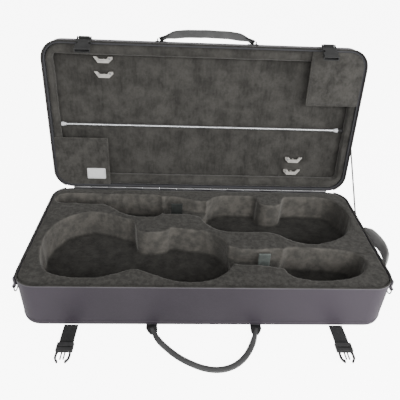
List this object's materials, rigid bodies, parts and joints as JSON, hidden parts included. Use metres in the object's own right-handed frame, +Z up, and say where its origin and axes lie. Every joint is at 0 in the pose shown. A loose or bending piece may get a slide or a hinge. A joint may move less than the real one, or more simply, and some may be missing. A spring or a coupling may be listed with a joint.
{
  "type": "double violin case",
  "caption": "Oblong hinged case with two padded instrument wells, a lid with bow holders and tip pockets, carry handles, webbing straps with side-release buckles and a stay cord.",
  "frame": {"origin": "centre of the flat bottom face of the base", "axes": "+X along the long side to the right, +Y from the opening front towards the hinge, +Z up; the lid stands open at rest"},
  "size_m": [0.8405, 0.5983, 0.5218],
  "materials": {
    "outer_fabric": "satin",
    "moulded_shell": "matte",
    "rim_trim": "satin",
    "plush": "plush",
    "hinge_steel": "brushed",
    "webbing": "woven",
    "tab_leatherette": "satin",
    "grip_leatherette": "satin",
    "grey_grip": "satin",
    "buckle_plastic": "satin",
    "holder_plastic": "satin",
    "rod_metal": "polished",
    "cap_plastic": "gloss",
    "socket_rubber": "matte",
    "label_card": "matte",
    "neck_webbing": "woven",
    "cord": "braided",
    "ring_metal": "satin"
  },
  "bodies": {
    "base": {"base_shell": "moulded_shell", "base_cover": "outer_fabric", "base_rim_trim": "rim_trim", "insert_floor": "plush", "insert_walls": "plush", "insert_collar": "plush", "hinge_leaf_base": "hinge_steel", "hinge_pin": "hinge_steel", "strap_roots": "webbing", "base_handle_tabs": "tab_leatherette", "side_handle_tabs": "tab_leatherette", "ring_tabs": "webbing", "cord_rivet_base": "ring_metal"},
    "lid": {"lid_shell": "moulded_shell", "lid_cover": "outer_fabric", "lid_rim_trim": "rim_trim", "lid_border_pad": "plush", "lid_lining_panel": "plush", "hinge_leaf_lid": "hinge_steel", "bow_tip_pocket_left": "plush", "bow_tip_pocket_right": "plush", "plain_label": "label_card", "brace_rod": "rod_metal", "rod_end_caps": "cap_plastic", "rod_socket": "socket_rubber", "bow_holder_bases": "holder_plastic", "lid_handle_tabs": "tab_leatherette", "buckle_webbing_loops": "webbing", "cord_rivet_lid": "ring_metal"},
    "key_1": {"bow_key_1": "holder_plastic"},
    "key_2": {"bow_key_2": "holder_plastic"},
    "key_3": {"bow_key_3": "holder_plastic"},
    "key_4": {"bow_key_4": "holder_plastic"},
    "base_grip": {"base_handle": "grip_leatherette"},
    "lid_grip": {"lid_handle": "grip_leatherette"},
    "side_grip": {"side_handle": "grey_grip"},
    "strap_left": {"strap_webbing_left": "webbing", "male_buckle_left": "buckle_plastic"},
    "strap_right": {"strap_webbing_right": "webbing", "male_buckle_right": "buckle_plastic"},
    "socket_left": {"female_buckle_left": "buckle_plastic"},
    "socket_right": {"female_buckle_right": "buckle_plastic"},
    "ring_l": {"ring_left": "ring_metal"},
    "ring_r": {"ring_right": "ring_metal"},
    "neck_front": {"neck_strap_front": "neck_webbing"},
    "neck_rear": {"neck_strap_rear": "neck_webbing"},
    "cord_low": {"stay_cord_lower": "cord"},
    "cord_up": {"stay_cord_upper": "cord"}
  },
  "joints": [
    {"name": "lid_hinge", "type": "hinge", "parent": "base", "child": "lid", "pos_m": [0, 0.19, 0.1185], "axis": [1, 0, 0], "range_deg": [0, 96.7]},
    {"name": "key_1_turn", "type": "hinge", "parent": "lid", "child": "key_1", "pos_m": [-0.239, 0.25248, 0.45149], "axis": [0, -0.9932, 0.1167], "range_deg": [0, 90]},
    {"name": "key_2_turn", "type": "hinge", "parent": "lid", "child": "key_2", "pos_m": [-0.239, 0.24828, 0.41573], "axis": [0, -0.9932, 0.1167], "range_deg": [0, 90]},
    {"name": "key_3_turn", "type": "hinge", "parent": "lid", "child": "key_3", "pos_m": [0.236, 0.22296, 0.20021], "axis": [0, -0.9932, 0.1167], "range_deg": [0, 90]},
    {"name": "key_4_turn", "type": "hinge", "parent": "lid", "child": "key_4", "pos_m": [0.235, 0.21876, 0.16446], "axis": [0, -0.9932, 0.1167], "range_deg": [0, 90]},
    {"name": "base_grip_swing", "type": "hinge", "parent": "base", "child": "base_grip", "pos_m": [0, -0.1985, 0.0032], "axis": [-1, 0, 0], "range_deg": [0, 90]},
    {"name": "lid_grip_swing", "type": "hinge", "parent": "lid", "child": "lid_grip", "pos_m": [0, 0.26436, 0.49862], "axis": [1, 0, 0], "range_deg": [-30, 30]},
    {"name": "side_grip_swing", "type": "hinge", "parent": "base", "child": "side_grip", "pos_m": [0.4062, -0.034, 0.1], "axis": [0, 1, 0], "range_deg": [-30, 30]},
    {"name": "strap_left_swing", "type": "hinge", "parent": "base", "child": "strap_left", "pos_m": [-0.29, -0.1985, 0.0019], "axis": [-1, 0, 0], "range_deg": [0, 90]},
    {"name": "strap_right_swing", "type": "hinge", "parent": "base", "child": "strap_right", "pos_m": [0.29, -0.1985, 0.0019], "axis": [-1, 0, 0], "range_deg": [0, 90]},
    {"name": "socket_left_swing", "type": "hinge", "parent": "lid", "child": "socket_left", "pos_m": [-0.29, 0.22788, 0.50522], "axis": [1, 0, 0], "range_deg": [-30.1, 0]},
    {"name": "socket_right_swing", "type": "hinge", "parent": "lid", "child": "socket_right", "pos_m": [0.29, 0.22788, 0.50522], "axis": [1, 0, 0], "range_deg": [-30.1, 0]},
    {"name": "ring_left_swing", "type": "hinge", "parent": "base", "child": "ring_l", "pos_m": [-0.4056, -0.152, 0.086], "axis": [0, 1, 0], "range_deg": [0, 120]},
    {"name": "ring_right_swing", "type": "hinge", "parent": "base", "child": "ring_r", "pos_m": [0.4056, -0.152, 0.086], "axis": [0, -1, 0], "range_deg": [0, 120]},
    {"name": "neck_front_fold", "type": "hinge", "parent": "base", "child": "neck_front", "pos_m": [0.136, -0.082, 0.0782], "axis": [1, 0, 0], "range_deg": [0, 78]},
    {"name": "neck_rear_fold", "type": "hinge", "parent": "base", "child": "neck_rear", "pos_m": [-0.068, 0.118, 0.0782], "axis": [1, 0, 0], "range_deg": [0, 80]},
    {"name": "cord_low_swing", "type": "hinge", "parent": "base", "child": "cord_low", "pos_m": [0.4029, 0.09, 0.112], "axis": [1, 0, 0], "range_deg": [-135.06, 0]},
    {"name": "cord_up_swing", "type": "hinge", "parent": "lid", "child": "cord_up", "pos_m": [0.4029, 0.2132, 0.23459], "axis": [1, 0, 0], "range_deg": [-51.76, 0]}
  ],
  "couplings": [
    {"joint": "socket_left_swing", "follows": "lid_hinge", "ratio": -0.31024},
    {"joint": "socket_right_swing", "follows": "lid_hinge", "ratio": -0.31024},
    {"joint": "cord_low_swing", "follows": "lid_hinge", "ratio": -1.3946},
    {"joint": "cord_up_swing", "follows": "lid_hinge", "ratio": -0.53316}
  ]
}
